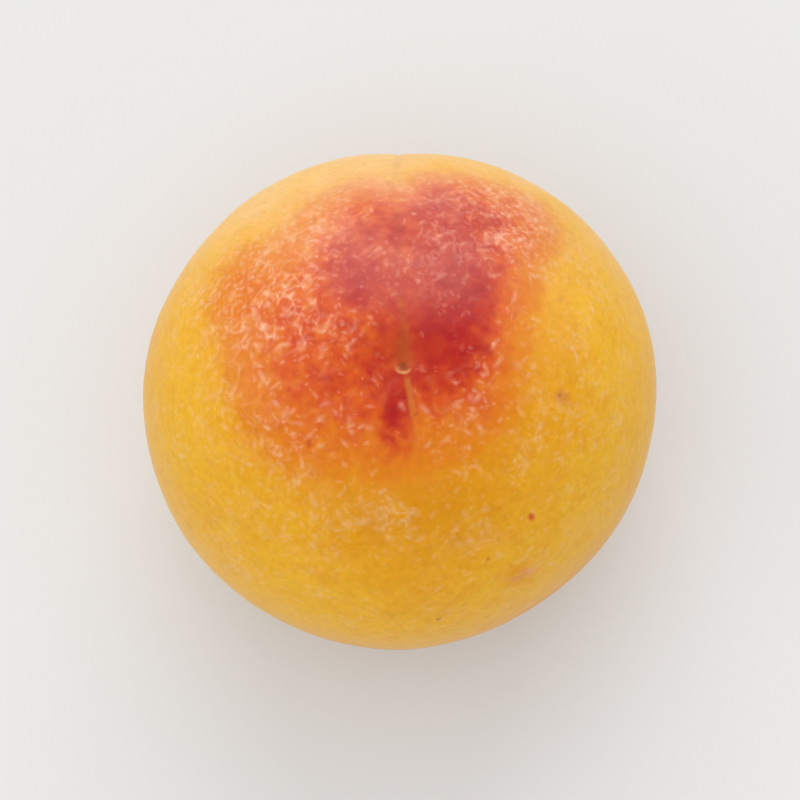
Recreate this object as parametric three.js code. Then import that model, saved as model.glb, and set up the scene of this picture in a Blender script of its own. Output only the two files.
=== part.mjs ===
// A ripe plum, as picked: one solid that stands on its shoulders with its tip up.
// Millimetres, +Z up. The origin is on the ground, under the middle of the fruit.
// +Y is the side of the suture, the shallow valley that runs from the stem cavity,
// over the side, to the tip. +X and -X are the two cheeks.

import * as THREE from "three";
import { mergeVertices } from "three/addons/utils/BufferGeometryUtils.js";

// Overall size
const CHEEK_WIDTH = 72; // along X, from cheek to cheek
const SUTURE_WIDTH = 69.5; // along Y, from the suture to the plain side
const HEIGHT = 64; // along Z, from the ground to the top of the crown

// Side outline, from the widest level up to the tip and down to the stem cavity
const BELLY_RADIUS = CHEEK_WIDTH / 2;
const CROWN_RISE = 33.5; // from the widest level to the tip
const BASE_DROP = 33; // from the widest level to the underside, were there no cavity
const FULLNESS = 2.08; // 2 gives an ellipse, and a larger number squarer shoulders

// Dip at the tip, where the flower was
const TIP_DIP = 0.9;
const TIP_DIP_RADIUS = 4.5;

// Stem cavity, the funnel in the underside that the stem grew in. Its wall is bell-shaped.
const CAVITY_RADIUS = 7.8; // where the funnel has sunk to about a third of its rise
const CAVITY_RISE = 12.5; // from the underside's own curve to the funnel's end
const SHOULDER_RADIUS = 16; // the underside inside this radius has a finer mesh

// The fruit's weight presses its shoulders flat by this much, as a ring to stand on
const SHOULDER_PRESS = 0.18;

// Outline from above, as shares of the radius
const SUTURE_SIDE_FULLNESS = 0.006; // the suture side is fuller than the plain side
const CHEEK_SKEW = 0.009; // the two cheeks aren't quite opposite each other

// Suture
const SUTURE_HALF_WIDTH = 5;
const SUTURE_DEPTH_AT_TIP = 0.3;
const SUTURE_DEPTH_AT_CAVITY = 1.1;
const SUTURE_START = 1.5; // distance from the tip at which the valley begins
const SUTURE_FULL = 10; // and at which it has its whole depth

// Fineness of the mesh
const SIDES = 80;
const BODY_ROWS = 27;
const CAVITY_ROWS = 13;

// The side outline without dip or cavity: how far the skin is above or below the
// widest level, as a share of the rise or drop, at a distance from the axis.
function roundness(radius) {
  return Math.max(0, 1 - (radius / BELLY_RADIUS) ** FULLNESS) ** (1 / FULLNESS);
}

function crownHeight(radius) {
  const dip = TIP_DIP * Math.exp(-((radius / TIP_DIP_RADIUS) ** 2));
  return CROWN_RISE * roundness(radius) - dip;
}

function underside(radius) {
  const funnel = CAVITY_RISE * Math.exp(-((radius / CAVITY_RADIUS) ** 2));
  return funnel - BASE_DROP * roundness(radius);
}

// Half of the side outline, from the tip on the axis to the cavity's end on the axis.
function sideOutline() {
  const points = [];
  const shoulder = Math.asin((SHOULDER_RADIUS / BELLY_RADIUS) ** (FULLNESS / 2));
  for (let row = 0; row <= BODY_ROWS; row++) {
    const turn = ((Math.PI - shoulder) * row) / BODY_ROWS;
    const radius = BELLY_RADIUS * Math.sin(turn) ** (2 / FULLNESS);
    const height = turn < Math.PI / 2 ? crownHeight(radius) : underside(radius);
    points.push(new THREE.Vector2(radius, height));
  }
  for (let row = CAVITY_ROWS - 1; row >= 0; row--) {
    const radius = (SHOULDER_RADIUS * row) / CAVITY_ROWS;
    points.push(new THREE.Vector2(radius, underside(radius)));
  }
  return points;
}

// The round body, turned about Z, as one closed surface with no doubled points.
function turnedBody() {
  const outline = sideOutline().reverse();
  const turned = new THREE.LatheGeometry(outline, SIDES);
  turned.rotateX(Math.PI / 2);
  turned.deleteAttribute("normal");
  turned.deleteAttribute("uv");
  return withoutFlatFaces(mergeVertices(turned, 1e-3));
}

// Where the outline meets the axis, a turned face has two corners in one place.
function withoutFlatFaces(geometry) {
  const corners = geometry.index.array;
  const kept = [];
  for (let i = 0; i < corners.length; i += 3) {
    const [a, b, c] = corners.slice(i, i + 3);
    if (a !== b && b !== c && c !== a) kept.push(a, b, c);
  }
  geometry.setIndex(kept);
  return geometry;
}

function forEachPoint(geometry, change) {
  const places = geometry.getAttribute("position");
  const point = new THREE.Vector3();
  for (let i = 0; i < places.count; i++) {
    point.fromBufferAttribute(places, i);
    change(point);
    places.setXYZ(i, point.x, point.y, point.z);
  }
  return geometry;
}

// Seen from above the fruit is a soft, slightly lopsided oval.
function makeOval(point) {
  const around = Math.atan2(point.y, point.x);
  const fuller = SUTURE_SIDE_FULLNESS * (Math.sin(around) + Math.sin(3 * around));
  const size = 1 + fuller + CHEEK_SKEW * Math.sin(2 * around);
  point.x *= size;
  point.y *= (size * SUTURE_WIDTH) / CHEEK_WIDTH;
}

// The suture is pressed in towards the fruit's middle, and gets deeper on its way down.
function pressSuture(point) {
  const down = (CROWN_RISE - point.z) / (CROWN_RISE + BASE_DROP);
  const depth = THREE.MathUtils.lerp(SUTURE_DEPTH_AT_TIP, SUTURE_DEPTH_AT_CAVITY, down ** 2);
  const along = THREE.MathUtils.smoothstep(point.y, SUTURE_START, SUTURE_FULL);
  const across = Math.exp(-((point.x / SUTURE_HALF_WIDTH) ** 2));
  const inwards = point.clone().normalize();
  point.addScaledVector(inwards, -depth * along * across);
}

function pressShoulders(geometry) {
  geometry.computeBoundingBox();
  const ground = geometry.boundingBox.min.z + SHOULDER_PRESS;
  return forEachPoint(geometry, (point) => {
    point.z = Math.max(point.z, ground);
  });
}

// Fits the fruit to its overall size, with its middle on the axis and its foot on the ground.
function fitToSize(geometry) {
  geometry.computeBoundingBox();
  const box = geometry.boundingBox;
  const size = box.getSize(new THREE.Vector3());
  const middle = box.getCenter(new THREE.Vector3());
  return geometry
    .translate(-middle.x, -middle.y, -box.min.z)
    .scale(CHEEK_WIDTH / size.x, SUTURE_WIDTH / size.y, HEIGHT / size.z);
}

function plumShape() {
  const body = turnedBody();
  forEachPoint(body, makeOval);
  forEachPoint(body, pressSuture);
  pressShoulders(body);
  fitToSize(body);
  body.computeVertexNormals();
  return body;
}

// Thin, waxy skin: golden yellow under a red blush, taken here at its mean colour.
function skin() {
  return new THREE.MeshStandardMaterial({ color: 0xe3a03c, roughness: 0.5, metalness: 0 });
}

const fruit = new THREE.Group();
const plum = new THREE.Mesh(plumShape(), skin());
plum.name = "plum";
fruit.add(plum);

export default fruit;
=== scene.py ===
# %% [markdown]
# # A ripe golden plum
#
# One fruit, as picked, standing on its shoulders with its tip up. The frame gives its box
# and its place. Here the skin gets its real shape, down to the wrinkles in the stem cavity,
# and its colours: golden yellow ground, red blush, pale corky flecks and a little wax, with
# painted sheen on the back of the crown and painted shade round the tip.
# Everything is in metres, with +Z up and +Y the side of the suture.

# %% Load the frame
import math

import bmesh
import bpy
import numpy as np
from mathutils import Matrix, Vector, noise


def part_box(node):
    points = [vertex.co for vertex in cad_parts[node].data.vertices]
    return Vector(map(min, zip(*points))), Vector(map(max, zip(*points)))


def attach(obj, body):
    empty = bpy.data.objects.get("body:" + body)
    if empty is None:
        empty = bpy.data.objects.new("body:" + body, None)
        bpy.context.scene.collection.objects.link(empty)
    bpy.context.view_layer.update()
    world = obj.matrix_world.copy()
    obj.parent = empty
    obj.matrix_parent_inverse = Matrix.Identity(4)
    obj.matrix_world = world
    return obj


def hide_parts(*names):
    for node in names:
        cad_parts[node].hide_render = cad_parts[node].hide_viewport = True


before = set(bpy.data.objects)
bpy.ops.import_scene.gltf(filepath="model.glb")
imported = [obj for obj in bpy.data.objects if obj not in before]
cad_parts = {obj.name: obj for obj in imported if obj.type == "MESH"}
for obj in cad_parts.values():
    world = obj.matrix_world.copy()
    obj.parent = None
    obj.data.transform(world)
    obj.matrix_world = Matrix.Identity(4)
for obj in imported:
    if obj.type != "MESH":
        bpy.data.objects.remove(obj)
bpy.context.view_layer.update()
MM = 0.001
low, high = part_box("plum")
WIDTH, DEPTH, HEIGHT = ((high - low) / MM)[:]
print(f"the plum is {WIDTH:.1f} x {DEPTH:.1f} x {HEIGHT:.1f} mm")

# %% [markdown]
# ## The side outline
#
# A plum grows round a stalk, so its body is close to a turned shape: a full belly, a
# crown with a small dip at the tip where the flower was, and a funnel underneath that the
# stalk sat in. A turned shape needs only half an outline, from the tip to the funnel's
# end. It is worked out in millimetres, with the widest level at height 0.

# %% Half the outline, from the tip to the end of the stem cavity
BELLY_RADIUS = WIDTH / 2
CROWN_RISE = 33.5
BASE_DROP = 33.0
FULLNESS = 2.08  # 2 gives an ellipse, and a larger number squarer shoulders
TIP_DIP, TIP_DIP_RADIUS = 0.9, 4.5
CAVITY_RISE, CAVITY_RADIUS = 12.5, 7.8
OUTLINE_STEPS = 4000


def roundness(radius):
    inside = np.clip(1 - (radius / BELLY_RADIUS) ** FULLNESS, 0, None)
    return inside ** (1 / FULLNESS)


def outline():
    turn = np.linspace(0, math.pi, OUTLINE_STEPS)
    radius = BELLY_RADIUS * np.sin(turn).clip(0) ** (2 / FULLNESS)
    dip = TIP_DIP * np.exp(-((radius / TIP_DIP_RADIUS) ** 2))
    funnel = CAVITY_RISE * np.exp(-((radius / CAVITY_RADIUS) ** 2))
    crown = CROWN_RISE * roundness(radius) - dip
    underside = funnel - BASE_DROP * roundness(radius)
    return radius, np.where(turn < math.pi / 2, crown, underside)


outline_radius, outline_height = outline()
steps = np.hypot(np.diff(outline_radius), np.diff(outline_height))
outline_length = np.concatenate(([0], np.cumsum(steps)))
SKIN_LENGTH = outline_length[-1]
print(f"from the tip over the side to the cavity's end: {SKIN_LENGTH:.1f} mm of skin")

# %% [markdown]
# ## An even mesh
#
# A sphere made of rings has thin, crowded faces at its poles, and the tip and the cavity
# are exactly there. A cube cut into small squares and blown up into a ball has none: its
# faces are all nearly square. The tangent keeps the rows evenly spaced.

# %% Cut a cube into squares and blow it up
SQUARES = 128  # along each edge of the cube, which makes the squares about 0.4 mm wide


def fine_cube():
    mesh = bpy.data.meshes.new("plum_body")
    bm = bmesh.new()
    bmesh.ops.create_cube(bm, size=2)
    bmesh.ops.subdivide_edges(bm, edges=bm.edges, cuts=SQUARES - 1, use_grid_fill=True)
    bm.to_mesh(mesh)
    bm.free()
    return mesh


def read_points(mesh):
    flat = np.empty(len(mesh.vertices) * 3)
    mesh.vertices.foreach_get("co", flat)
    return flat.reshape(-1, 3)


mesh = fine_cube()
cube = read_points(mesh)
ball = np.tan(cube * math.pi / 4)
ball /= np.linalg.norm(ball, axis=1)[:, None]
print(f"{len(mesh.polygons)} squares")

# %% [markdown]
# ## From ball to fruit
#
# Each point of the ball slides to its place on the outline: the angle from the tip becomes
# a length of skin from the tip. Then the same steps as in the frame's body follow. The
# fruit is a slightly lopsided oval from above, and the suture is pressed in from the tip
# down to the cavity.

# %% Turn the outline, make it oval and press the suture in
FULLER_BACK, LOPSIDED = 0.006, 0.009  # as shares of the radius
SUTURE_HALF_WIDTH = 5.0
SUTURE_DEPTH_AT_TIP, SUTURE_DEPTH_AT_CAVITY = 0.3, 1.1
SUTURE_START, SUTURE_FULL = 1.5, 10.0


def smooth(x, start, end):
    """Climbs gently from 0 at start to 1 at end."""
    t = np.clip((x - start) / (end - start), 0, 1)
    return t * t * (3 - 2 * t)


def turned(ball):
    from_tip = np.arccos(ball[:, 2].clip(-1, 1)) / math.pi * SKIN_LENGTH
    around = np.arctan2(ball[:, 1], ball[:, 0])
    radius = np.interp(from_tip, outline_length, outline_radius)
    height = np.interp(from_tip, outline_length, outline_height)
    body = np.stack((radius * np.cos(around), radius * np.sin(around), height), 1)
    return body, from_tip, around


def make_oval(body, around):
    fuller = FULLER_BACK * (np.sin(around) + np.sin(3 * around))
    size = 1 + fuller + LOPSIDED * np.sin(2 * around)
    body[:, 0] *= size
    body[:, 1] *= size * DEPTH / WIDTH


def press_suture(body):
    down = (CROWN_RISE - body[:, 2]) / (CROWN_RISE + BASE_DROP)
    depth = SUTURE_DEPTH_AT_TIP + (SUTURE_DEPTH_AT_CAVITY - SUTURE_DEPTH_AT_TIP) * down**2
    along = smooth(body[:, 1], SUTURE_START, SUTURE_FULL)
    across = np.exp(-((body[:, 0] / SUTURE_HALF_WIDTH) ** 2))
    inwards = -body / np.linalg.norm(body, axis=1)[:, None]
    body += inwards * (depth * along * across)[:, None]


body, from_tip, around = turned(ball)
make_oval(body, around)
press_suture(body)
print(f"the suture is {SUTURE_DEPTH_AT_CAVITY} mm deep where it meets the cavity")

# %% [markdown]
# ## What growth leaves on the surface
#
# No fruit is as even as a formula. The flesh swells in broad, shallow lumps, a fine crease
# runs along the floor of the suture, and it goes on a little way past the tip. All of these
# are moves of the points along the skin's normal, so they are in the mesh and not only
# painted on. First come the lumps and the crease, which wanders a little as it runs.

# %% Lumps and the crease
LUMPS = ((34, 0.42), (11, 0.09), (3.2, 0.022))  # width and height of each kind, mm
LUMP_WAVES = 1.6  # how many waves of the noise one lump's width holds
CREASE_HALF_WIDTH, CREASE_DEPTH = 0.7, 0.14
CREASE_IN_FRONT, CREASE_TAIL = 0.7, (5, 11)  # its strength past the tip, and where it fades
CREASE_ENDS = (16, 8)  # mm before the cavity's end
CREASE_PLACE = 0.4  # its x at the tip
LEAN_BEHIND, LEAN_IN_FRONT = -0.03, -0.15  # its slant, mm sideways for each mm
WANDERS = ((0.18, 2.3, 0), (0.25, 6.1, 2))  # waves in it: mm sideways, mm a radian, start


def lumpiness(body):
    height = np.zeros(len(body))
    for kind, (width, tall) in enumerate(LUMPS):
        shift = Vector((kind * 40, 7, 3))
        waves = [noise.noise(Vector(p) / width * LUMP_WAVES + shift) for p in body]
        height += tall * np.array(waves)
    return height


def beside_crease(body):
    """How far each point is from the crease, sideways, in mm."""
    y = body[:, 1]
    middle = CREASE_PLACE + np.where(y > 0, LEAN_BEHIND, LEAN_IN_FRONT) * y
    wander = sum(by * np.sin(y / each + start) for by, each, start in WANDERS)
    return body[:, 0] - middle - wander * smooth(np.abs(y), 0, 6)


def crease_strength(body, from_tip):
    """1 along the suture, weaker and fading in front of the tip, 0 inside the cavity."""
    front = CREASE_IN_FRONT * (1 - smooth(from_tip, *CREASE_TAIL))
    whole = smooth(body[:, 1], -1, 1)
    in_cavity = smooth(SKIN_LENGTH - from_tip, *CREASE_ENDS)
    return (front + (1 - front) * whole) * (1 - in_cavity)


sideways = beside_crease(body)
creased = crease_strength(body, from_tip)
relief = lumpiness(body)
relief -= CREASE_DEPTH * creased * np.exp(-((sideways / CREASE_HALF_WIDTH) ** 2))
print(f"lumps and crease from {relief.min():.2f} to {relief.max():.2f} mm")

# %% [markdown]
# The flower's style stood on the tip and dropped off early. It left a pinprick of a pit
# with a raised lip on the near side, and behind it a pucker that narrows towards the
# suture.

# %% The scar at the tip
TIP = (0.4, -1.4)  # where the style stood, in x and y
PIT_RADIUS, PIT_DEPTH = 0.6, 0.35
LIP_RING, LIP_HALF_WIDTH, LIP_HEIGHT = 0.75, 0.35, 0.1
FOLD_LENGTH, FOLD_HALF_WIDTH, FOLD_DEPTH = 6.0, 1.8, 0.25


def tip_scar(body, sideways):
    x, y = body[:, 0] - TIP[0], body[:, 1] - TIP[1]
    away = np.hypot(x, y)
    pit = PIT_DEPTH * np.exp(-((away / PIT_RADIUS) ** 2))
    lip = LIP_HEIGHT * np.exp(-(((away - LIP_RING) / LIP_HALF_WIDTH) ** 2))
    lip *= smooth(-y, 0, 0.6)
    narrowing = np.clip(1 - y / FOLD_LENGTH, 0.2, 1)
    valley = np.exp(-((sideways / (FOLD_HALF_WIDTH * narrowing)) ** 2)) * narrowing
    length = smooth(y, -0.5, 0.8) * (1 - smooth(y, FOLD_LENGTH - 2, FOLD_LENGTH))
    on_top = body[:, 2] > 0
    return (lip - pit - FOLD_DEPTH * valley * length) * on_top


relief += tip_scar(body, sideways)
print(f"the tip's pit is {PIT_DEPTH} mm deep, and the pucker behind it {FOLD_LENGTH} mm long")

# %% [markdown]
# At the stone end the flesh puckers into radial wrinkles round the scar that the stalk
# left. The scar is a sunken disc with a corky rim. These are the last moves, and then all
# of them are made at once.

# %% The wrinkled stem cavity and its scar
SCAR_RADIUS = 2.3
SCAR_RIM, SCAR_RIM_HALF_WIDTH, SCAR_SINK = 0.35, 0.55, 0.5
WRINKLES, WRINKLE_DEPTH = 17, 0.22
WRINKLE_SWAY, WRINKLE_TWIST = 1.3, 2.2  # uneven spacing, and a slant down into the cavity


def cavity_relief(to_end, around):
    folds = WRINKLES * around + WRINKLE_SWAY * np.sin(3 * around) + to_end / WRINKLE_TWIST
    wrinkled = smooth(to_end, 1.5, 4) * (1 - smooth(to_end, 8, 15))
    rim = SCAR_RIM * np.exp(-(((to_end - SCAR_RADIUS) / SCAR_RIM_HALF_WIDTH) ** 2))
    sink = SCAR_SINK * (1 - smooth(to_end, 0, SCAR_RADIUS))
    return WRINKLE_DEPTH * np.sin(folds) * wrinkled + rim - sink


def normals_of(mesh, body):
    mesh.vertices.foreach_set("co", (body * MM).ravel())
    mesh.update()
    flat = np.empty(len(mesh.vertices) * 3)
    mesh.vertex_normals.foreach_get("vector", flat)
    return flat.reshape(-1, 3)


to_end = SKIN_LENGTH - from_tip
relief += cavity_relief(to_end, around)
body += normals_of(mesh, body) * relief[:, None]
print(f"relief from {relief.min():.2f} to {relief.max():.2f} mm")

# %% [markdown]
# ## Standing on its shoulders
#
# A ripe plum is soft, so its weight presses a flat ring on the shoulders round the cavity.
# Cutting the underside off at one level would leave a hard edge, so the points near the
# ground ease into the flat over a fraction of a millimetre. Last, the fruit is brought to
# exactly the box that the frame gives it.

# %% Press the shoulders and fit the frame's box
SHOULDER_PRESS = 0.18
SHOULDER_EASE = 0.08  # height over which the press fades out


def press_shoulders(body):
    ground = body[:, 2].min() + SHOULDER_PRESS
    above = body[:, 2] - ground
    body[:, 2] = ground + SHOULDER_EASE * np.logaddexp(0, above / SHOULDER_EASE)


def fit_to_box(body):
    low_mm, high_mm = np.array(low) / MM, np.array(high) / MM
    start = body.min(0)
    return low_mm + (body - start) * (high_mm - low_mm) / (body.max(0) - start)


press_shoulders(body)
body = fit_to_box(body)
mesh.vertices.foreach_set("co", (body * MM).ravel())
mesh.polygons.foreach_set("use_smooth", [True] * len(mesh.polygons))
mesh.update()
plum = bpy.data.objects.new("plum_body", mesh)
bpy.context.scene.collection.objects.link(plum)
print(f"fitted to {np.ptp(body[:, 0]):.2f} x {np.ptp(body[:, 1]):.2f} x {body[:, 2].max():.2f} mm")

# %% [markdown]
# ## A flat map of the skin
#
# When the colours are stored as a picture with the model, each part of the skin needs a
# place in it. The cube's six sides are already six nearly square patches, so they lie side
# by side, three by two, and fill the picture with hardly any stretch.

# %% Lay the six patches out
PATCH_GAP = 0.004


def lay_out(mesh, cube):
    corner = np.empty(len(mesh.loops), dtype=int)
    mesh.loops.foreach_get("vertex_index", corner)
    places = cube[corner].reshape(-1, 4, 3)
    middle = places.mean(1)
    axis = np.abs(middle).argmax(1)
    faces = np.arange(len(axis))
    side = axis * 2 + (middle[faces, axis] > 0)
    across, upward = (axis + 1) % 3, (axis + 2) % 3
    u = np.take_along_axis(places, across[:, None, None].repeat(4, 1), 2)[:, :, 0]
    v = np.take_along_axis(places, upward[:, None, None].repeat(4, 1), 2)[:, :, 0]
    u, v = ((1 - PATCH_GAP) * x / 2 + 0.5 for x in (u, v))
    uv = np.stack(((u + side[:, None] % 3) / 3, (v + side[:, None] // 3) / 2), 2)
    mesh.uv_layers.new(name="OFBake").uv.foreach_set("vector", uv.ravel())


lay_out(mesh, cube)
print(f"6 patches of {SQUARES} x {SQUARES} squares on the map {mesh.uv_layers[0].name}")

# %% [markdown]
# ## Where the fruit is red
#
# Plums redden where the sun reaches them, here on the crown and over towards the suture.
# The blush is broad and soft, so it is stored on the mesh's points as one number: 0 is
# golden yellow and 1 crimson. It is made of a few soft patches, each a place on the skin
# with a width. The finer mottling comes later, in the material, where it can be sharper
# than the mesh.

# %% Store the blush on the points
BLUSH = (
    # x, y, z, width along x, y and z, strength: mm from the foot of the fruit's axis
    (7.5, 11, 62, 7, 11, 15, 0.97),  # crimson lobe beside the suture
    (4.5, 2, 64, 5, 7, 8, 0.74),  # its darkest corner, at the tip
    (15.5, 20, 56, 5, 5, 8, 0.32),  # its firm outer edge
    (-4.5, 11, 62, 8, 10, 15, 0.87),  # salmon lobe on the suture's other side
    (-15.5, 3, 61, 7, 9, 13, 0.27),  # its thin outer edge
    (-20, 10.5, 58, 6, 6, 10, 0.2),  # and the orange glow beyond
    (-12, -5, 62, 7, 6, 9, 0.24),  # spill in front of it
    (5, 20.5, 58, 10, 5.5, 10, 0.6),  # over the back, beside the suture
    (-3.5, -3.5, 64, 10, 8, 12, 0.46),  # fringe in front of the tip
    (10, -4, 63, 4.5, 5.5, 8, 0.26),  # and beside it
    (-3.5, -11.5, 62, 12, 4.5, 8, 0.14),  # the orange that it fades through
    (-0.6, -6.8, 64, 1.9, 4.3, 6, 0.7),  # dark flame in front of the tip
    (16, -26, 47, 3, 2, 3, 0.08),  # a trace of sunburn low on the plain side
)
BLUSH_END, BLUSH_LOSS = (24, 32), 0.8  # the y over which it gives out, high on the back
GAP_HALF_WIDTH, GAP_START, GAP_LOSS = 2.7, (20, 27), 0.6  # the suture's floor stays yellow


def patchwork(body, patches):
    """Soft patches added together like layers of thin paint, so that they never pass 1."""
    bare = np.ones(len(body))
    for *place, strength in patches:
        away = (body - place[:3]) / place[3:]
        bare *= 1 - strength * np.exp(-(away**2).sum(1))
    return 1 - bare


def store(name, values):
    mesh.attributes.new(name, "FLOAT", "POINT").data.foreach_set("value", values)


blush = patchwork(body, BLUSH)
gap = np.exp(-((body[:, 0] / GAP_HALF_WIDTH) ** 2)) * smooth(body[:, 1], *GAP_START)
blush *= 1 - GAP_LOSS * gap
blush *= 1 - BLUSH_LOSS * smooth(body[:, 1], *BLUSH_END)
store("blush", blush)
print(f"{(blush > 0.5).mean():.0%} of the skin is more red than yellow")

# %% [markdown]
# ## Ochre, flecks, and bloom with painted sheen
#
# Three more guides are made of patches in the same way. The yellow ground deepens to ochre
# in front. The corky flecks stand in crowds and leave bare places between them, because
# the skin stretched unevenly as the fruit swelled. The third guide is partly wax bloom and
# partly painted sheen: on the back, over the crimson lobe and round the cavity it is a pale
# film that stands in for the soft shine of the lamps behind and for light reflected at the
# low rims.

# %% Store the ochre, the flecks' crowding, and the bloom with its painted sheen
OCHRE = (
    # rows as in BLUSH, here and in the next three lists
    (2, -18, 60, 16, 11, 18, 1.0),
    (13.5, -6, 61, 6.5, 5.5, 8, 0.5),
    (21, -2, 58, 7, 12, 12, 0.5),
)
CROWDS = (
    (-12, 15.5, 60, 4.5, 3.5, 7, 0.85),  # on the salmon lobe
    (-18, 6.5, 60, 7, 7, 9, 0.3),
    (-13, 2, 62, 5, 5, 7, 0.15),
    (7, 12.5, 62, 5.5, 4.5, 6, 0.2),  # on the crimson lobe
    (15, 19, 56, 6, 6, 8, 0.5),
    (-13.5, -17.5, 57, 5, 3.5, 6, 0.85),  # in front
    (-2.5, -20.5, 58, 7, 4.5, 6, 0.65),
    (18, -9.5, 59, 4.5, 4.5, 6, 0.3),
    (-21, 15, 50, 11, 9, 14, 0.3),  # on the cheeks
    (24, 15, 45, 9, 11, 14, 0.25),
    (9, -4, 63, 2.7, 2.7, 4, 0.2),
)
BARE = (
    (2, 2.5, 64, 7, 6.5, 8, 0.8),  # round the tip
    (-8, 0.5, 64, 7, 5.5, 7, 0.5),
    (-1, 17, 60, 5, 5, 7, 0.6),  # along the suture
    (-6.5, 18, 59, 3, 3, 5, 0.5),
    (-10.5, 10.5, 62, 3.5, 3, 6, 0.5),
    (-19, -2, 58, 4, 4, 6, 0.5),
    (12, 3, 63, 6.5, 6.5, 8, 0.4),  # at the crimson lobe's edge
    (15, -1, 62, 5, 4, 7, 0.6),
    (18, 9, 59, 4, 4, 6, 0.5),
    (-2, -8, 63, 10, 4.5, 6, 0.8),  # in front of the fringe
    (-2, -13.3, 62, 14.5, 4.5, 8, 0.9),
    (2, -16, 61, 10, 3.5, 8, 0.5),
    (0, -27.5, 52, 15.5, 5.5, 10, 0.85),  # low in front
)
FLECKED, CROWDED = 0.45, 1.6  # how densely they stand in most places, and in a crowd
# patches of wax bloom and painted sheen on the crown, where the lamps behind shine
BLOOM_AND_SHEEN_PATCHES = (
    (2.5, 12.5, 62, 11, 6, 12, 0.58),
    (4, 7, 64, 9, 4, 8, 0.2),
)
BACK_BLOOM_AND_SHEEN, BACK_START = 0.9, (8, 28)  # how much on the back, and the y over which it sets in
LOW_BLOOM_AND_SHEEN, LOW_START = 0.3, (45, 25)  # the same low down, by the height above the ground

store("ochre", patchwork(body, OCHRE))
crowding = FLECKED + (CROWDED - FLECKED) * patchwork(body, CROWDS)
crowding *= 1 - patchwork(body, BARE)
store("crowding", crowding)
# bloom and painted sheen grow towards the back and low down: painted shine from the lamps behind,
# and painted reflection low on the sides
bloom_and_sheen = BACK_BLOOM_AND_SHEEN * smooth(body[:, 1], *BACK_START)
bloom_and_sheen = np.maximum(bloom_and_sheen, LOW_BLOOM_AND_SHEEN * smooth(body[:, 2], *LOW_START))
bloom_and_sheen = 1 - (1 - bloom_and_sheen) * (1 - patchwork(body, BLOOM_AND_SHEEN_PATCHES))
store("bloom_and_sheen", bloom_and_sheen)
print(f"the crowding runs from {crowding.min():.2f} to {crowding.max():.2f}")

# %% [markdown]
# The last guides are lengths and a line. The material needs to know how far the tip and
# the cavity's end are over the skin, and where the crease runs. The painted shade along the
# crease is darkest beside the tip, fades on the crown and comes back further down.

# %% Store the lengths and the crease
LINE_IN_FRONT = 0.6
LINE_FADE, LINE_FADES_OVER = 0.75, (5, 10)
LINE_RETURN, LINE_RETURNS_OVER = 0.35, (25, 45)

# how dark the painted shade along the crease is, behind and in front of the tip
behind = 1 - LINE_FADE * smooth(from_tip, *LINE_FADES_OVER)
behind += LINE_RETURN * smooth(from_tip, *LINE_RETURNS_OVER)
store("from_tip", from_tip)
store("to_end", to_end)
store("beside_crease", sideways)
store("crease", np.where(body[:, 1] > 0, behind, LINE_IN_FRONT) * creased)
GUIDES = ("blush", "ochre", "crowding", "bloom_and_sheen", "from_tip", "to_end", "beside_crease", "crease")
print(f"{len(GUIDES)} guides on the points")

# %% [markdown]
# ## Tools for the materials
#
# Colours are easiest to note as the hex values a colour picker shows, but the shader adds
# and mixes light, so one function turns them to linear numbers. A second one adds any
# node: its sockets take a number, a colour or another node's output, and its settings are
# given by name.

# %% Two helpers
def colour(hex_value):
    parts = [int(hex_value[i : i + 2], 16) / 255 for i in (0, 2, 4)]
    linear = [c / 12.92 if c <= 0.04045 else ((c + 0.055) / 1.055) ** 2.4 for c in parts]
    return (*linear, 1.0)


def add(kind, sockets=None, output=0, stops=(), **settings):
    """Adds a node and returns one of its outputs. sockets maps a socket's name or number to
    a value or to another node's output, and stops are a colour ramp's, both ends first."""
    node = tree.nodes.new("ShaderNode" + kind)
    for name, value in settings.items():
        setattr(node, name, value)
    for name, value in (sockets or {}).items():
        if isinstance(value, bpy.types.NodeSocket):
            tree.links.new(value, node.inputs[name])
        else:
            node.inputs[name].default_value = value
    for number, (position, value) in enumerate(stops):
        ramp = node.color_ramp.elements
        stop = ramp[number] if number < 2 else ramp.new(position)
        stop.position, stop.color = position, colour(value)
    return node.outputs[output]


print("pure orange, linear:", [round(c, 3) for c in colour("ff8000")])

# %% [markdown]
# ## Plum skin
#
# The real skin is a thin waxy cuticle over coloured flesh. Light goes a little way in and
# comes back golden, so the colour is deep and saturated, and the wax only adds a broad,
# soft shine. The red sits in the cells as a stipple that gets denser towards the crown,
# with streaks that run away from the tip as the flames on a nectarine do. Pale corky
# flecks, where the skin stretched as the fruit swelled, lie over both.
#
# All patterns are sized in millimetres. The skin's real pores are finer than a tenth of a
# millimetre, and would vanish at any normal distance, so they are drawn at about half a
# millimetre.

# %% Start the skin's material, with coordinates in millimetres
skin = bpy.data.materials.new("waxy_plum_skin")
skin.use_nodes = True
tree = skin.node_tree
tree.nodes.clear()

mm = add("VectorMath", {0: add("TexCoord", output="Object"), "Scale": 1 / MM}, operation="SCALE")
normal = add("NewGeometry", output="Normal")
above_ground = add("SeparateXYZ", {0: mm}, 2)
guide = {name: add("Attribute", output="Fac", attribute_name=name) for name in GUIDES}
WAVES_PER_PATCH = 0.5
HALF = (0.5, 0.5, 0.5)


def speckle(width, detail=1.0, seed=0.0, vector=mm, output="Fac"):
    """Noise whose patches are about width mm across, from 0 to 1."""
    sockets = {"Vector": vector, "W": seed, "Scale": WAVES_PER_PATCH / width, "Detail": detail}
    return add("TexNoise", sockets, output, noise_dimensions="4D")


print(f"patches 7 mm wide take {WAVES_PER_PATCH / 7:.3f} waves of noise a mm")

# %% [markdown]
# The blush is mottled at three sizes, and streaked. For the streaks the noise is read on a
# drawn-out copy of the skin: round the axis it runs at full pace, and away from the tip
# only a fifth as fast, so every patch of it becomes a flame that points at the tip. The
# mottling needs some red to work on, and it calms down where the red is full.

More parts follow.
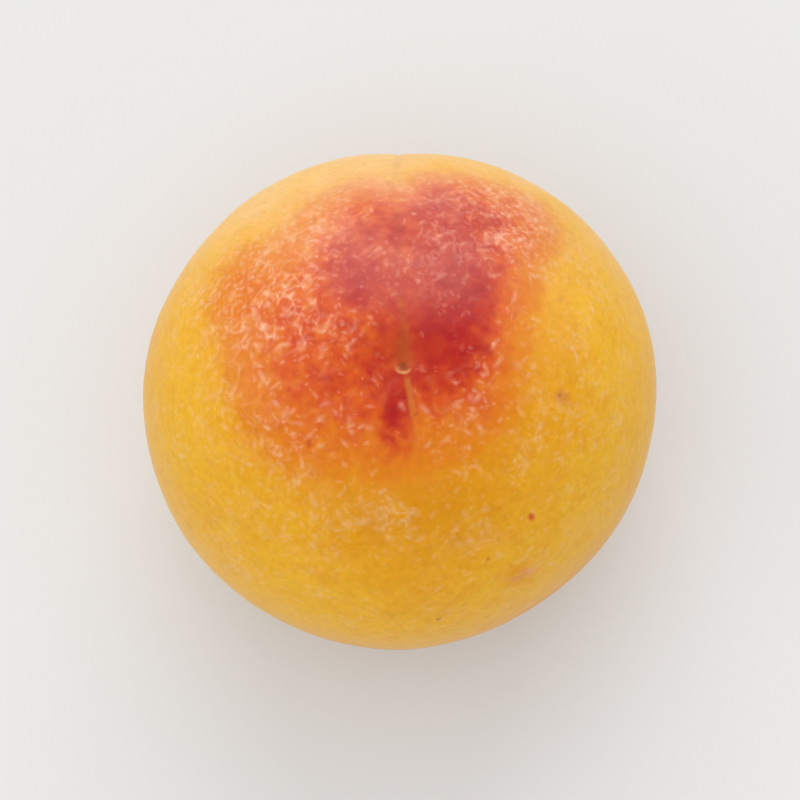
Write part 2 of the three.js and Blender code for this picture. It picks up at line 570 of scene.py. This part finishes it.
# %% Mottle and streak the blush
STREAK_RADIUS, STREAK_PACE = 24.0, 0.2
flat_place = add("VectorMath", {0: mm, 1: (1, 1, 0)}, operation="MULTIPLY")
outwards = add("VectorMath", {0: flat_place}, operation="NORMALIZE")
ring = add("VectorMath", {0: outwards, "Scale": STREAK_RADIUS}, operation="SCALE")
slow = add("Math", {0: guide["from_tip"], 1: STREAK_PACE}, operation="MULTIPLY")
along_axis = add("CombineXYZ", {"Z": slow})
drawn_out = add("VectorMath", {0: ring, 1: along_axis}, operation="ADD")
streaks = {"Value": guide["from_tip"], "From Min": 3.0, "From Max": 10.0, "To Max": 0.35}
streaks = add("MapRange", streaks)

mottling = (
    # a noise and how far it swings the redness
    (speckle(7.0, 1.0, 1.0), 0.15),
    (speckle(2.2, 2.0, 2.0), 0.5),
    (speckle(0.8, 1.0, 3.0), 0.75),
    (speckle(1.8, 2.0, 4.0, drawn_out), streaks),
)
swing = 0.0
for pattern, amount in mottling:
    centred = add("Math", {0: pattern, 1: -0.5}, operation="ADD")
    swing = add("Math", {0: centred, 1: amount, 2: swing}, operation="MULTIPLY_ADD")
begins = add("MapRange", {"Value": guide["blush"], "From Max": 0.6})
calm = {"Value": guide["blush"], "From Min": 0.55, "From Max": 0.85, "To Min": 1.0, "To Max": 0.6}
begins = add("Math", {0: begins, 1: add("MapRange", calm)}, operation="MULTIPLY")
swing = add("Math", {0: swing, 1: begins}, operation="MULTIPLY")
redness = add("Math", {0: guide["blush"], 1: swing}, operation="ADD")
print(f"{len(mottling)} patterns break up the blush")

# %% [markdown]
# Low on the flanks, light that came in under the leaves left a faint orange flush in a few
# broad patches.

# %% A faint flush on the flanks
FLANK_TOP, FLANK_FULL = 40.0, 24.0  # mm above the ground
FLUSH_WIDTH, FLUSH_MOST = 22.0, 0.16
flank = {"Value": above_ground, "From Min": FLANK_TOP, "From Max": FLANK_FULL}
flank = add("MapRange", flank, interpolation_type="SMOOTHSTEP")
broad_patches = {"Value": speckle(FLUSH_WIDTH, 1.0, 17.0), "From Min": 0.5, "From Max": 0.75}
flush = add("MapRange", {**broad_patches, "To Max": FLUSH_MOST})
redness = add("Math", {0: flush, 1: flank, 2: redness}, operation="MULTIPLY_ADD")
print(f"flushed by up to {FLUSH_MOST} below {FLANK_TOP:.0f} mm")

# %% [markdown]
# Under the blush the ground runs from lemon gold on the shaded sides to deep ochre in
# front. Down in the stem cavity, where no light came, it turns a greener yellow.

# %% The ground colour
BROAD_SWING, FINE_SWING = 0.7, 0.95
CAVITY_GREEN, UNDERSIDE = "bfa83e", "d3b136"
broad = add("Math", {0: speckle(10.0, 2.0, 5.0), 1: -0.5}, operation="ADD")
warmth = {0: broad, 1: BROAD_SWING, 2: guide["ochre"]}
warmth = add("Math", warmth, operation="MULTIPLY_ADD")
fine = add("Math", {0: speckle(1.2, 2.0, 6.0), 1: -0.5}, operation="ADD")
warmth = add("Math", {0: fine, 1: FINE_SWING, 2: warmth}, operation="MULTIPLY_ADD")
golds = ((0.0, "e3ab24"), (1.0, "d28b0c"), (0.5, "dd9b18"))
paint = add("ValToRGB", {"Fac": warmth}, stops=golds)


def over(paint, tint, strength, *masks):
    """Paints a tint, a hex value or a node's, over the skin where all of the masks are high."""
    for mask in masks:
        strength = add("Math", {0: strength, 1: mask}, operation="MULTIPLY")
    tint = colour(tint) if isinstance(tint, str) else tint
    return add("Mix", {0: strength, 6: paint, 7: tint}, 2, data_type="RGBA")


near_end = {"Value": guide["to_end"], "From Min": 15.0, "From Max": 3.0}
near_end = add("MapRange", near_end, interpolation_type="SMOOTHSTEP")
paint = over(paint, CAVITY_GREEN, near_end)
low_down = {"Value": above_ground, "From Min": 22.0, "From Max": 2.0, "To Max": 0.5}
low_down = add("MapRange", low_down, interpolation_type="SMOOTHSTEP")
paint = over(paint, UNDERSIDE, low_down)
print(f"the ground has {len(golds)} golds and two greener yellows")

# %% [markdown]
# The red pigment lies in the outer cells over that yellow, so a little of it gives orange,
# more gives scarlet, and the fullest is crimson.

# %% The red over the ground
reds = (
    (0.0, "d98d12"),
    (1.0, "9e0f19"),
    (0.22, "d67614"),
    (0.5, "cc5017"),
    (0.75, "b42b17"),
    (0.9, "a81819"),
)
red = add("ValToRGB", {"Fac": redness}, stops=reds)
cover = add("MapRange", {"Value": redness, "From Max": 0.12})
paint = over(paint, red, cover)


def by_redness(on_yellow, on_red):
    """A tint that goes from one hex value to another as the skin under it reddens."""
    mix = {0: redness, 6: colour(on_yellow), 7: colour(on_red)}
    return add("Mix", mix, 2, data_type="RGBA")


print(f"{len(reds)} reds, from orange to crimson")

# %% [markdown]
# The flecks are short strokes of cork, up to 2.4 mm long and under a millimetre wide. A
# Voronoi texture deals the skin out into small cells and says where each cell's own point
# lies. Seen from that point, along and across a direction drawn at random for the cell, a
# stroke is only a long thin ellipse. Its length and strength are drawn at random too, and a
# noise that nudges the coordinates first bends every one another way.

# %% How likely a stroke is at each place, and the nudge that bends it
SQUIGGLE = 0.7  # the most that a place is nudged aside, mm
nudge = speckle(1.1, 1.0, 7.0, output="Color")
nudge = add("VectorMath", {0: nudge, 1: HALF}, operation="SUBTRACT")
nudge = add("VectorMath", {0: nudge, "Scale": 2 * SQUIGGLE}, operation="SCALE")
nudged = add("VectorMath", {0: mm, 1: nudge}, operation="ADD")
uneven = {"Value": speckle(3.5, 3.0, 8.0), "From Min": 0.4, "From Max": 0.64}
chance = add("MapRange", {**uneven, "To Min": 0.35, "To Max": 1.6})
chance = add("Math", {0: chance, 1: guide["crowding"]}, operation="MULTIPLY")
print(f"places are nudged by up to {SQUIGGLE} mm")

# %% [markdown]
# Four layers of strokes overlap, each with cells of its own size, because real flecks come
# in all sizes and lie across each other. A cell's lot is weighed against the chance at its
# place, so where the guide on the points is low, few strokes are drawn and those are faint.

# %% Strokes, each in a cell of its own
LAYERS = (
    # width of the cells, half the longest stroke's length and half its width, mm, and strength
    (2.4, 1.2, 0.42, 0.6),
    (2.0, 1.0, 0.38, 0.6),
    (1.5, 0.7, 0.32, 0.55),
    (1.0, 0.45, 0.24, 0.4),
)
SHORTEST = 0.5  # as a share of the longest
STROKE_EDGE = 1.4  # where the soft ellipse ends, in half lengths and half widths
FAINT_LOT, FULL_LOT = 1.0, 0.4  # lot over chance for a stroke of no strength, and of full


def strokes(cell, half_length, half_width, seed):
    """How strongly strokes cover each place: 1 in the middle of a full one, 0 between them."""
    shifted = add("VectorMath", {0: nudged, 1: (seed, -seed, 2 * seed)}, operation="ADD")
    own_point = add("TexVoronoi", {"Vector": shifted, "Scale": 1 / cell}, "Position")
    away = add("VectorMath", {0: shifted, 1: own_point}, operation="SUBTRACT")
    lots = own_point.node.outputs["Color"]
    lot = add("TexWhiteNoise", {"Vector": lots}, "Value")
    heading = add("VectorMath", {0: lots, 1: HALF}, operation="SUBTRACT")
    heading = add("VectorMath", {0: normal, 1: heading}, operation="CROSS_PRODUCT")
    heading = add("VectorMath", {0: heading}, operation="NORMALIZE")
    side = add("VectorMath", {0: normal, 1: heading}, operation="CROSS_PRODUCT")
    along = add("VectorMath", {0: away, 1: heading}, "Value", operation="DOT_PRODUCT")
    across = add("VectorMath", {0: away, 1: side}, "Value", operation="DOT_PRODUCT")
    more_lots = add("VectorMath", {0: lots, "Scale": 7.0}, operation="SCALE")
    half = add("TexWhiteNoise", {"Vector": more_lots}, "Value")
    half = {"Value": half, "To Min": SHORTEST * half_length, "To Max": half_length}
    along = add("Math", {0: along, 1: add("MapRange", half)}, operation="DIVIDE")
    across = add("Math", {0: across, 1: half_width}, operation="DIVIDE")
    ellipse = add("CombineXYZ", {0: along, 1: across})
    ellipse = add("VectorMath", {0: ellipse}, "Value", operation="LENGTH")
    ellipse = {"Value": ellipse, "From Min": STROKE_EDGE, "From Max": 0.0}
    ellipse = add("MapRange", ellipse, interpolation_type="SMOOTHSTEP")
    share = add("Math", {0: lot, 1: chance}, operation="DIVIDE")
    share = add("MapRange", {"Value": share, "From Min": FAINT_LOT, "From Max": FULL_LOT})
    return add("Math", {0: ellipse, 1: share}, operation="MULTIPLY")


fleck = 0.0
for *sizes, strength in LAYERS:
    layer = strokes(*sizes, seed=40 * sizes[0])
    fleck = add("Math", {0: layer, 1: strength, 2: fleck}, operation="MULTIPLY_ADD")
print(f"{len(LAYERS)} layers of strokes, the longest {2 * LAYERS[0][1]} mm")

# %% [markdown]
# Between the flecks the cuticle has fine cracks. They follow the edges of Voronoi cells a
# little wider than the small flecks, bent by the same nudge, and a noise breaks them up, so
# no whole cell shows.

# %% Cracks between the flecks
CRACK_CELL = 1.7
CRACK_EDGE, CRACK_CORE = 0.17, 0.02  # from the cells' edge, as shares of their width
edge = {"Vector": nudged, "Scale": 1 / CRACK_CELL}
edge = add("TexVoronoi", edge, "Distance", feature="DISTANCE_TO_EDGE")
crack = add("MapRange", {"Value": edge, "From Min": CRACK_EDGE, "From Max": CRACK_CORE})
broken = {"Value": speckle(1.0, 0.0, 12.0), "From Min": 0.5, "From Max": 0.6}
crack = add("Math", {0: crack, 1: add("MapRange", broken)}, operation="MULTIPLY")
print(f"cracks round cells of {CRACK_CELL} mm")

# %% [markdown]
# The skin round a crowd of flecks is hazy with cork too fine to see. It makes small clouds,
# thickest where the flecks are likeliest. Cork lets some light through, so on the fullest
# red, which swallows that light, the clouds and the flecks both look fainter.

# %% Clouds
CLOUD_STRENGTH = 0.23
cloud = {"Value": speckle(2.0, 4.0, 13.0), "From Min": 0.45, "From Max": 0.75}
cloud = add("MapRange", cloud)
faint = {"Value": redness, "From Min": 0.5, "From Max": 0.85, "To Min": 1.0, "To Max": 0.5}
faint = add("MapRange", faint)
paint = over(paint, by_redness("e6b788", "ea8870"), CLOUD_STRENGTH, chance, faint, cloud)
print(f"clouds of strength {CLOUD_STRENGTH}")

# %% [markdown]
# Bloom is wax that the skin sweats out in grains too small to see. It scatters all light
# alike, so it looks like a pale film, pinkish over the red and uneven where leaves
# touched it. The same film is also painted sheen: on the back of the crown it stands in
# for the shine of the lamps behind, and low on the sides for reflected light.

# %% Wax bloom and painted sheen
BLOOM_AND_SHEEN_STRENGTH = 0.46
film = {"Value": speckle(6.0, 4.0, 18.0), "From Min": 0.25, "From Max": 0.75}
film = add("MapRange", film)
# a pale film of wax bloom and painted sheen, pinkish over the red
paint = over(paint, by_redness("ecd2b6", "f0a490"), BLOOM_AND_SHEEN_STRENGTH, film, guide["bloom_and_sheen"])
print(f"bloom of strength {BLOOM_AND_SHEEN_STRENGTH}")

# %% [markdown]
# Lenticels are the openings that the skin breathes through: small pale dots, spread evenly
# over the flanks. A few old ones have healed over as brown russet dots.

# %% Lenticels and russet dots
SMALLEST_DOT = 0.01
# the cells' width and the largest dot's radius in mm, and the share of cells that have a dot
LENTICEL = {"cell": 3.4, "radius": 0.6, "share": 0.8, "seed": 5.0}
RUSSET = {"cell": 9.0, "radius": 1.3, "share": 0.5, "seed": 11.0}


def dots(cell, radius, share, seed):
    """Round dots up to radius mm, one in each cell, of which the given share is drawn."""
    shifted = add("VectorMath", {0: mm, 1: (seed, seed, -seed)}, operation="ADD")
    own_point = add("TexVoronoi", {"Vector": shifted, "Scale": 1 / cell}, "Position")
    away = add("VectorMath", {0: shifted, 1: own_point}, "Value", operation="DISTANCE")
    lot = add("TexWhiteNoise", {"Vector": own_point.node.outputs["Color"]}, "Value")
    size = {"Value": lot, "From Max": share, "To Min": radius, "To Max": SMALLEST_DOT}
    away = add("Math", {0: away, 1: add("MapRange", size)}, operation="DIVIDE")
    return add("MapRange", {"Value": away, "From Min": 1.1, "From Max": 0.5})


paint = over(paint, "f0d595", 0.4, dots(**LENTICEL), flank)
paint = over(paint, "8e5320", 0.55, dots(**RUSSET), flank)
print(f"lenticels every {LENTICEL['cell']} mm and russet dots every {RUSSET['cell']} mm")

# %% [markdown]
# Darker pores give the paint a fine tooth, and then the cork of the strokes and cracks lies
# over all of it.

# %% Pores, and the cork over the paint
CRACK_STRENGTH = 0.6  # beside the strokes' 1
CORK_ON_YELLOW, CORK_ON_RED = 0.38, 0.62
pore = {"Value": speckle(0.55, 1.0, 15.0), "From Min": 0.52, "From Max": 0.75, "To Max": 0.16}
paint = over(paint, by_redness("c8700e", "8a1212"), add("MapRange", pore))
cork = add("Math", {0: crack, 1: chance}, operation="MULTIPLY")
cork = add("Math", {0: cork, 1: CRACK_STRENGTH, 2: fleck}, operation="MULTIPLY_ADD")
depth = {"Value": redness, "From Max": 0.3, "To Min": CORK_ON_YELLOW, "To Max": CORK_ON_RED}
depth = add("Math", {0: add("MapRange", depth), 1: faint}, operation="MULTIPLY")
cork = add("Math", {0: cork, 1: depth}, operation="MULTIPLY", use_clamp=True)
paint = over(paint, by_redness("e6b98c", "f0a290"), cork)
print(f"{len(tree.nodes)} nodes so far")

# %% [markdown]
# ## The tip and the crease
#
# The flower's style left a pin-sized scar in a small fold of skin, with painted highlight on
# its near lip. The dip round it gets painted shade, and the suture's crease runs back over
# the crown as an olive-brown line of painted shade. A thinner ochre line runs on a little
# way in front.

# %% Painted shade in the dip and along the crease, and the ochre line in front
flat_from_tip = add("VectorMath", {0: nudged, 1: (*TIP, 0)}, operation="SUBTRACT")
flat_from_tip = add("VectorMath", {0: flat_from_tip, 1: (1, 1, 0)}, operation="MULTIPLY")
behind_tip = add("SeparateXYZ", {0: flat_from_tip}, 1)
on_top = add("MapRange", {"Value": above_ground, "From Min": 55, "From Max": 58})
beside = add("Math", {0: guide["beside_crease"]}, operation="ABSOLUTE")

# painted shade in the dip round the tip: the skin darkens towards deep red nearer the tip
dip = {"Value": guide["from_tip"], "From Min": 9.0, "From Max": 1.0}
dip = add("MapRange", dip, interpolation_type="SMOOTHSTEP")
paint = over(paint, "a8300f", 0.3, dip)

thin = {"Value": beside, "From Min": 0.6, "From Max": 0.15}
thin = add("MapRange", thin, interpolation_type="SMOOTHSTEP")
ahead = add("MapRange", {"Value": behind_tip, "From Min": -0.9, "From Max": -1.6})
fades = add("MapRange", {"Value": guide["from_tip"], "From Min": 12.0, "From Max": 7.0})
paint = over(paint, "cc8c38", 0.34, thin, ahead, fades, on_top)

# painted shade along the crease's floor, an olive-brown line broken by noise; the bump below also
# sinks it as a groove
line = {"Value": beside, "From Min": 0.9, "From Max": 0.1}
line = add("MapRange", line, interpolation_type="SMOOTHSTEP")
line = add("Math", {0: line, 1: guide["crease"]}, operation="MULTIPLY")
line_breaks = {"Value": speckle(1.2, 2.0, 14.0), "From Min": 0.3, "From Max": 0.6, "To Min": 0.25}
line_breaks = add("MapRange", line_breaks)
paint = over(paint, "9a5a1c", 0.27, line, line_breaks)
print("the dip is darkened and the crease inked, ochre in front and olive brown behind")

# %% [markdown]
# The fold behind the scar gets painted shade, a narrow brown triangle. The scar itself is a
# pit darkened with painted shadow, with a pale crescent of painted highlight on its near
# side, where the lip faces the lamp behind the fruit.

# %% Painted shade in the fold and the pit, and painted highlight on the pit's lip
# the pale crescent on the lip is painted highlight
PIT_RING = 0.65  # radius of the pale crescent, mm
# painted shade in the fold behind the scar: a brown triangle that narrows towards the back
fold_width = {"Value": behind_tip, "From Max": 5.0, "To Min": 1.9, "To Max": 0.5}
fold_shade = add("Math", {0: beside, 1: add("MapRange", fold_width)}, operation="DIVIDE")
fold_shade = add("MapRange", {"Value": fold_shade, "From Min": 1.15, "From Max": 0.6})
fold_start = add("MapRange", {"Value": behind_tip, "From Min": -0.5, "From Max": 0.3})
fold_end = add("MapRange", {"Value": behind_tip, "From Min": 6.0, "From Max": 3.0})
paint = over(paint, "a85a1c", 0.3, fold_shade, fold_start, fold_end, on_top)

# painted shadow: the pit is darkened to deep brown
to_pit = add("VectorMath", {0: flat_from_tip}, "Value", operation="LENGTH")
pit = add("MapRange", {"Value": to_pit, "From Min": 0.75, "From Max": 0.2})
paint = over(paint, "7a3a12", 0.7, pit, on_top)
# painted highlight: a pale crescent on the near side of the lip, which faces the lamp behind
lip = add("Math", {0: to_pit, 1: PIT_RING}, operation="SUBTRACT")
lip = add("Math", {0: lip}, operation="ABSOLUTE")
lip = add("MapRange", {"Value": lip, "From Min": 0.3, "From Max": 0.05})
lit_near_side = add("MapRange", {"Value": behind_tip, "From Min": 0.0, "From Max": -0.6})
paint = over(paint, "dfae6c", 0.5, lip, lit_near_side, on_top)
print(f"the pit's lip is {2 * PIT_RING:.1f} mm across")

# %% [markdown]
# At the other end, the stalk's scar is dry brown cork with a coarse grain.

# %% The stalk's scar
scar = {"Value": guide["to_end"], "From Min": SCAR_RADIUS + 0.9, "From Max": SCAR_RADIUS + 0.1}
scar = add("MapRange", scar)
scar_grain = add("MapRange", {"Value": speckle(0.4, 3.0, 19.0), "From Min": 0.3, "From Max": 0.7})
paint = over(paint, "8a6a40", 0.9, scar)
paint = over(paint, "5e4026", 0.7, scar, scar_grain)
print(f"the stalk's scar is {2 * SCAR_RADIUS:.1f} mm across")

# %% [markdown]
# ## Small marks
#
# A few marks belong to this fruit alone: a red dot where the sun burnt a pore, a bruise, a
# rosy streak, and some specks. Each is a soft round spot with a place on the skin seen
# from above, a radius and a colour.

# %% Dots, bruises and specks
MARKS = (
    # x, y, radius in mm, colour, strength
    (17.0, -19.2, 0.95, "c8402c", 0.8),  # sunburnt pore
    (17.1, -19.4, 0.35, "8c1f1c", 0.6),  # its core
    (21.1, -4.4, 1.6, "c4763e", 0.6),  # bruise on the cheek
    (20.7, -4.1, 0.45, "a8503a", 0.5),  # its core
    (-11.6, -10.7, 0.7, "b2321f", 0.5),  # red specks at the edge of the blush
    (-14.2, -3.8, 0.5, "b83028", 0.5),
    (-12.3, -9.8, 0.7, "c8452c", 0.4),
    (2.1, -7.3, 0.5, "a8401c", 0.5),
    (11.5, -24.5, 0.5, "a86a20", 0.5),  # brown specks in front
    (5.3, -31.6, 0.5, "9a5a1c", 0.6),
    (16.5, -25.8, 1.3, "cf8a68", 0.4),  # rosy streak
    (15.2, -26.6, 1.0, "cf8a68", 0.35),
)
SPOT_CORE = 0.2  # how much of a spot's radius has its full strength
FAR_OFF = 1e6


def skin_above(x, y):
    """The place on the fruit's upper half that lies over x, y."""
    underneath = body[:, 2] <= HEIGHT / 2
    away = (body[:, 0] - x) ** 2 + (body[:, 1] - y) ** 2 + FAR_OFF * underneath
    return body[away.argmin()]


for x, y, radius, tint, most in MARKS:
    centre = (x, y, skin_above(x, y)[2])
    spot = add("VectorMath", {0: nudged, 1: centre}, "Value", operation="DISTANCE")
    spot = {"Value": spot, "From Min": radius, "From Max": SPOT_CORE * radius, "To Max": most}
    spot = add("MapRange", spot, interpolation_type="SMOOTHSTEP")
    paint = over(paint, tint, spot)
print(f"{len(MARKS)} marks")

# %% [markdown]
# ## The finished skin
#
# Last comes how it takes the light. Single cells are lighter or darker than their
# neighbours, which a fine grain stands for. The cuticle is smooth and soft with wax, so it
# shines broadly, and cork is rougher than wax. Its index of refraction is that of wax,
# 1.45, but the loose grains of bloom on it scatter most of the mirror light, so the
# specular level is low. Red light comes back from deepest in the flesh and blue from
# least deep.

# %% Finish the skin
GRAIN = 0.2
PORE_HEIGHT, LINE_DEPTH = 0.02, 0.05  # mm
WAX_ROUGHNESS, CORK_ROUGHNESS = 0.34, 0.5
grain = add("Math", {0: speckle(0.45, 1.0, 9.0), 1: -0.5}, operation="ADD")
bright = add("Math", {0: grain, 1: GRAIN, 2: 1.0}, operation="MULTIPLY_ADD")
paint = add("VectorMath", {0: paint, "Scale": bright}, operation="SCALE")
height = add("Math", {0: speckle(0.7, 2.0, 10.0), 1: PORE_HEIGHT}, operation="MULTIPLY")
height = add("Math", {0: line, 1: -LINE_DEPTH, 2: height}, operation="MULTIPLY_ADD")
rough = add("MapRange", {"Value": fleck, "To Min": WAX_ROUGHNESS, "To Max": CORK_ROUGHNESS})
shader_sockets = {
    "Base Color": paint,
    "Roughness": rough,
    "Normal": add("Bump", {"Height": height, "Distance": MM}),
    "IOR": 1.45,
    "Specular IOR Level": 0.12,
    "Subsurface Weight": 0.12,
    "Subsurface Radius": (2.5, 1.0, 0.3),
    "Subsurface Scale": MM,
}
shader = add("BsdfPrincipled", shader_sockets)
material_output = tree.nodes.new("ShaderNodeOutputMaterial")
tree.links.new(shader, material_output.inputs["Surface"])
mesh.materials.append(skin)
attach(plum, "root")
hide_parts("plum")
print(f"the skin's material has {len(tree.nodes)} nodes")

# %% [markdown]
# ## The stage
#
# The light is a white room with two soft lamps: a large one over the left shoulder, and
# one behind the fruit that lights its crown. Three wide white cards stand round the back.
# They are only for the shine, so that the wax shows on the crown, and give no light of
# their own to the colours.

# %% World and light
ROOM_LIGHT = 0.85
CARD_ELEVATION, CARD_SPREAD, CARD_STRENGTH = 30, 60, 1.6
scene = bpy.context.scene
scene.view_settings.view_transform = "Standard"
world = bpy.data.worlds.new("studio")
world.use_nodes = True
room = world.node_tree.nodes["Background"]
room.inputs["Color"].default_value = colour("ffffff")
room.inputs["Strength"].default_value = ROOM_LIGHT
scene.world = world


def soft_light(name, azimuth, elevation, spread, strength):
    """A lamp far away that looks spread degrees wide. Azimuth 0 is in front, 90 at +X."""
    lamp = bpy.data.lights.new(name, "SUN")
    lamp.angle, lamp.energy = math.radians(spread), strength
    ob = bpy.data.objects.new(name, lamp)
    a, e = math.radians(azimuth), math.radians(elevation)
    towards = Vector((math.sin(a) * math.cos(e), -math.cos(a) * math.cos(e), math.sin(e)))
    ob.rotation_euler = towards.to_track_quat("Z", "Y").to_euler()
    scene.collection.objects.link(ob)
    return ob


softbox = soft_light("back_softbox", azimuth=178, elevation=32, spread=50, strength=1.1)
softbox.visible_glossy = False
soft_light("top_softbox", azimuth=-70, elevation=62, spread=80, strength=0.62)
for azimuth in (130, 185, 240):
    card_name = f"back_card_{azimuth}"
    card = soft_light(card_name, azimuth, CARD_ELEVATION, CARD_SPREAD, CARD_STRENGTH)
    card.visible_diffuse = False
print(f"{len(bpy.data.lights)} lamps in a room of brightness {ROOM_LIGHT}")

# %% [markdown]
# The floor is seamless studio paper: matte, without shine, and of a grey that looks as
# bright under these lamps as the room behind it, so no horizon shows from the side.

# %% Floor
FLOOR_RADIUS, FLOOR_SIDES = 8, 128
paper = bpy.data.materials.new("seamless_paper")
paper.use_nodes = True
paper_shader = paper.node_tree.nodes["Principled BSDF"]
paper_shader.inputs["Base Color"].default_value = colour("dadada")
paper_shader.inputs["Roughness"].default_value = 0.9
paper_shader.inputs["Specular IOR Level"].default_value = 0.0
floor_mesh = bpy.data.meshes.new("floor")
bm = bmesh.new()
bmesh.ops.create_circle(bm, cap_ends=True, radius=FLOOR_RADIUS, segments=FLOOR_SIDES)
bm.to_mesh(floor_mesh)
bm.free()
floor_mesh.materials.append(paper)
floor = bpy.data.objects.new("floor", floor_mesh)
scene.collection.objects.link(floor)
print(f"a round sheet {2 * FLOOR_RADIUS} m across")

# %% [markdown]
# The camera looks down steeply on the tip, a little from in front, through a long lens
# that keeps the outline true. It stands back until the fruit fills two thirds of the
# picture.

# %% Camera
CAMERA_ELEVATION = 80  # degrees above the horizon
LENS = 100  # mm
SHARE_OF_PICTURE = 0.64
camera_data = bpy.data.cameras.new("camera")
camera_data.lens = LENS
camera = bpy.data.objects.new("camera", camera_data)
scene.collection.objects.link(camera)
scene.camera = camera
heart = (Vector(low) + Vector(high)) / 2
tilt = math.radians(CAMERA_ELEVATION)
back = Vector((0, -math.cos(tilt), math.sin(tilt)))
half_view = camera_data.sensor_width / 2 / camera_data.lens
distance = WIDTH * MM / 2 / SHARE_OF_PICTURE / half_view
camera.location = heart + back * distance
camera.rotation_euler = back.to_track_quat("Z", "Y").to_euler()
print(f"the camera is {distance:.2f} m from the fruit's heart")
